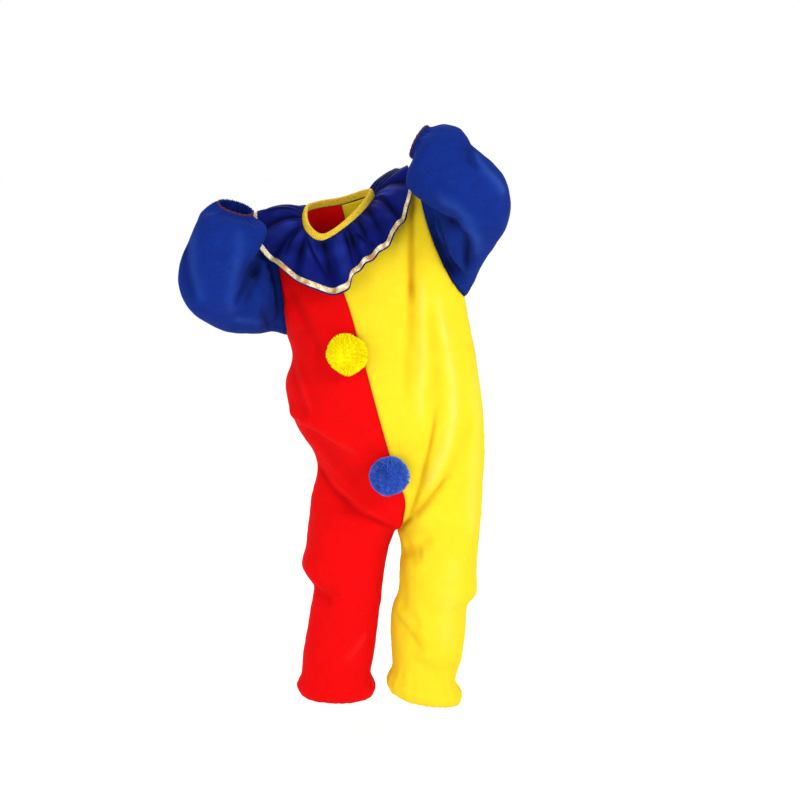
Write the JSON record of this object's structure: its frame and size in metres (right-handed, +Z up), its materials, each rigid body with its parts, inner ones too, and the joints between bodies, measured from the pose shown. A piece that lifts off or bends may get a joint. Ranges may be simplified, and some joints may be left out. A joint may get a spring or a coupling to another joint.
{
  "type": "toddler clown jumpsuit",
  "caption": "Hollow clown jumpsuit for a toddler in its worn shape, with full sleeves bent up, a fluted collar with a ribbon edge and yarn pompoms on the centre front.",
  "frame": {"origin": "middle of the neck opening, where the wearer's neck and shoulders hold the suit up", "axes": "+X to the wearer's left, -Y to the front, +Z up along the wearer's neck"},
  "size_m": [0.4104, 0.2343, 0.7625],
  "materials": {
    "front_right": "brushed red fleece",
    "back_right": "brushed red fleece",
    "front_left": "brushed yellow fleece",
    "back_left": "brushed yellow fleece",
    "sleeve_right": "brushed royal blue fleece",
    "sleeve_left": "brushed royal blue fleece",
    "ruffle_collar": "navy satin",
    "ruffle_trim": "pale gold woven ribbon",
    "neck_binding": "yellow binding cloth",
    "pompom_yellow": "yellow yarn",
    "pompom_blue": "blue yarn"
  },
  "bodies": {
    "root": {"front_right": "front_right", "back_right": "back_right", "front_left": "front_left", "back_left": "back_left", "sleeve_right": "sleeve_right", "sleeve_left": "sleeve_left", "ruffle_collar": "ruffle_collar", "ruffle_trim": "ruffle_trim", "neck_binding": "neck_binding", "pompom_yellow": "pompom_yellow", "pompom_blue": "pompom_blue"}
  },
  "joints": []
}
